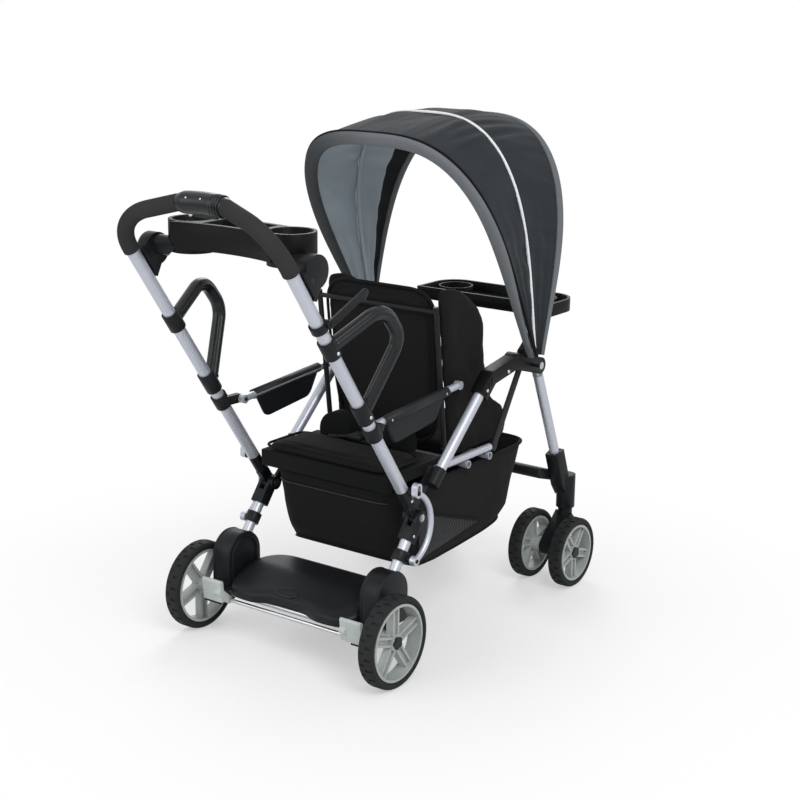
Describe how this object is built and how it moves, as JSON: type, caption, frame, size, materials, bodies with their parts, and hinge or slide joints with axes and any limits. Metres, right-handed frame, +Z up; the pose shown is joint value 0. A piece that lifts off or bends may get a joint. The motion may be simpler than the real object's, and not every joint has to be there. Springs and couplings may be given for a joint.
{
  "type": "stroller",
  "caption": "Tandem sit-and-stand stroller with a canopied front seat, a rear bench over a basket, a standing platform and a folding frame.",
  "frame": {"origin": "centre of the footprint on the floor: X = 0 in the middle plane, Y = 0 mid-length, Z = 0 at the floor", "axes": "+X across the stroller to the left of a child who looks forward, +Y to the rear where the push handle is, +Z up"},
  "size_m": [0.53, 1.0678, 1.0542],
  "materials": {
    "silver_tube": "silver powder coat, satin",
    "steel": "zinc plated steel",
    "black_moulding": "black moulded plastic with a fine grain",
    "black_cloth": "black woven polyester",
    "canopy_cloth": "charcoal woven polyester, slate inside",
    "foam": "matte charcoal foam",
    "grey_moulding": "pale grey moulded plastic",
    "tread": "moulded tyre with tread grooves"
  },
  "bodies": {
    "seat_frame": {"side_tubes": "silver_tube", "side_brackets": "black_moulding", "fold_pins": "steel", "hubs": "black_moulding", "seat_bars": "silver_tube", "seat_hangers": "black_moulding", "cross_tubes": "silver_tube", "bench_base": "black_moulding", "bench_pad": "black_cloth", "front_seat": "black_cloth", "basket": "black_cloth"},
    "backrest": {"backrest_frame": "silver_tube", "backrest_panel": "black_cloth"},
    "rear_frame": {"leg_caps": "black_moulding", "rear_legs": "silver_tube", "fenders": "black_moulding", "platform": "black_moulding", "rear_axle": "steel"},
    "brake": {"brake_levers": "grey_moulding", "brake_rod": "steel"},
    "rear_wheel_left": {"rear_tyre_left": "tread", "rear_rim_left": "grey_moulding"},
    "rear_wheel_right": {"rear_tyre_right": "tread", "rear_rim_right": "grey_moulding"},
    "front_frame": {"front_legs": "silver_tube", "leg_forks": "black_moulding", "front_crossbar": "black_moulding", "spring_left": "steel", "spring_right": "steel"},
    "stem_left": {"stem_left": "steel"},
    "stem_right": {"stem_right": "steel"},
    "caster_left": {"yoke_left": "black_moulding"},
    "caster_right": {"yoke_right": "black_moulding"},
    "front_wheels_left": {"front_axle_left": "steel", "front_tyres_left": "tread", "front_rims_left": "grey_moulding"},
    "front_wheels_right": {"front_axle_right": "steel", "front_tyres_right": "tread", "front_rims_right": "grey_moulding"},
    "push_handle": {"tube_plugs": "black_moulding", "handle_tubes": "silver_tube", "handle_grips": "foam", "fold_housing": "black_moulding", "parent_tray": "black_moulding", "tray_arms": "black_moulding", "grab_handles": "black_moulding", "grab_clamps": "black_moulding", "arm_brackets": "black_moulding"},
    "trigger": {"fold_trigger": "black_moulding"},
    "button": {"lock_button": "grey_moulding"},
    "latch": {"storage_latch": "black_moulding"},
    "arm_link_pair": {"arm_links": "silver_tube", "arm_flaps": "black_cloth"},
    "fold_link_pair": {"fold_links": "silver_tube"},
    "canopy_rear": {"canopy_bow_rear": "black_moulding", "canopy_panel_rear": "canopy_cloth"},
    "canopy_mid": {"canopy_bow_mid": "black_moulding", "canopy_panel_front": "canopy_cloth"},
    "canopy_front": {"canopy_bow_front": "black_moulding"},
    "child_tray": {"front_tray": "black_moulding"}
  },
  "joints": [
    {"name": "frame_fold", "type": "hinge", "parent": "seat_frame", "child": "rear_frame", "pos_m": [0, 0.1067, 0.29], "axis": [1, 0, 0], "range_deg": [0, 40], "deforming": ["basket"]},
    {"name": "handle_fold", "type": "hinge", "parent": "seat_frame", "child": "push_handle", "pos_m": [0, 0.1067, 0.29], "axis": [1, 0, 0], "range_deg": [0, 55]},
    {"name": "front_leg_fold", "type": "hinge", "parent": "seat_frame", "child": "front_frame", "pos_m": [0, -0.3313, 0.515], "axis": [1, 0, 0], "range_deg": [0, 50]},
    {"name": "arm_link_turn", "type": "hinge", "parent": "push_handle", "child": "arm_link_pair", "pos_m": [0, 0.2127, 0.495], "axis": [1, 0, 0], "range_deg": [-55, 0]},
    {"name": "fold_link_turn", "type": "hinge", "parent": "rear_frame", "child": "fold_link_pair", "pos_m": [0, 0.15065, 0.21696], "axis": [1, 0, 0], "range_deg": [0, 6.94]},
    {"name": "canopy_tilt", "type": "hinge", "parent": "seat_frame", "child": "canopy_rear", "pos_m": [0, -0.2913, 0.525], "axis": [1, 0, 0], "range_deg": [0, 40]},
    {"name": "canopy_fold", "type": "hinge", "parent": "canopy_rear", "child": "canopy_mid", "pos_m": [0, -0.2913, 0.525], "axis": [1, 0, 0], "range_deg": [-16, 0], "deforming": ["canopy_panel_rear", "canopy_panel_front"]},
    {"name": "canopy_brim", "type": "hinge", "parent": "canopy_mid", "child": "canopy_front", "pos_m": [0, -0.2913, 0.525], "axis": [1, 0, 0], "range_deg": [-20, 0]},
    {"name": "recline", "type": "hinge", "parent": "seat_frame", "child": "backrest", "pos_m": [0, -0.0713, 0.362], "axis": [1, 0, 0], "range_deg": [-20, 0]},
    {"name": "brake", "type": "hinge", "parent": "rear_frame", "child": "brake", "pos_m": [0, 0.2747, 0.084], "axis": [-1, 0, 0], "range_deg": [0, 20]},
    {"name": "fold_trigger", "type": "slide", "parent": "push_handle", "child": "trigger", "axis": [0, 0.5721, 0.8202], "range_m": [0, 0.006], "stiffness_N_per_m": 400, "springref_m": -0.004},
    {"name": "lock_button", "type": "slide", "parent": "push_handle", "child": "button", "axis": [0, 0.5721, 0.8202], "range_m": [0, 0.005], "stiffness_N_per_m": 300, "springref_m": -0.003},
    {"name": "storage_latch", "type": "hinge", "parent": "push_handle", "child": "latch", "pos_m": [-0.21, 0.4008, 0.73081], "axis": [1, 0, 0], "range_deg": [-40, 0]},
    {"name": "front_tray", "type": "slide", "parent": "seat_frame", "child": "child_tray", "axis": [0, -1, 0], "range_m": [0, 0.08]},
    {"name": "rear_wheel_left", "type": "hinge", "parent": "rear_frame", "child": "rear_wheel_left", "pos_m": [0.248, 0.2587, 0.092], "axis": [1, 0, 0], "continuous": true},
    {"name": "rear_wheel_right", "type": "hinge", "parent": "rear_frame", "child": "rear_wheel_right", "pos_m": [-0.248, 0.2587, 0.092], "axis": [1, 0, 0], "continuous": true},
    {"name": "suspension_left", "type": "slide", "parent": "front_frame", "child": "stem_left", "axis": [0, 0, 1], "range_m": [0, 0.01], "stiffness_N_per_m": 9000, "springref_m": -0.006, "deforming": ["spring_left"]},
    {"name": "caster_swivel_left", "type": "hinge", "parent": "stem_left", "child": "caster_left", "pos_m": [0.195, -0.4713, 0.128], "axis": [0, 0, 1], "continuous": true},
    {"name": "front_wheels_left", "type": "hinge", "parent": "caster_left", "child": "front_wheels_left", "pos_m": [0.195, -0.4153, 0.078], "axis": [1, 0, 0], "continuous": true},
    {"name": "suspension_right", "type": "slide", "parent": "front_frame", "child": "stem_right", "axis": [0, 0, 1], "range_m": [0, 0.01], "stiffness_N_per_m": 9000, "springref_m": -0.006, "deforming": ["spring_right"]},
    {"name": "caster_swivel_right", "type": "hinge", "parent": "stem_right", "child": "caster_right", "pos_m": [-0.195, -0.4713, 0.128], "axis": [0, 0, 1], "continuous": true},
    {"name": "front_wheels_right", "type": "hinge", "parent": "caster_right", "child": "front_wheels_right", "pos_m": [-0.195, -0.4153, 0.078], "axis": [1, 0, 0], "continuous": true}
  ],
  "couplings": [
    {"joint": "handle_fold", "follows": "frame_fold", "ratio": 1.375},
    {"joint": "front_leg_fold", "follows": "frame_fold", "ratio": 1.25},
    {"joint": "arm_link_turn", "follows": "frame_fold", "ratio": -1.375},
    {"joint": "fold_link_turn", "follows": "frame_fold", "ratio": 0.1735},
    {"joint": "canopy_tilt", "follows": "frame_fold", "ratio": 1},
    {"joint": "canopy_brim", "follows": "canopy_fold", "ratio": 1.25}
  ]
}
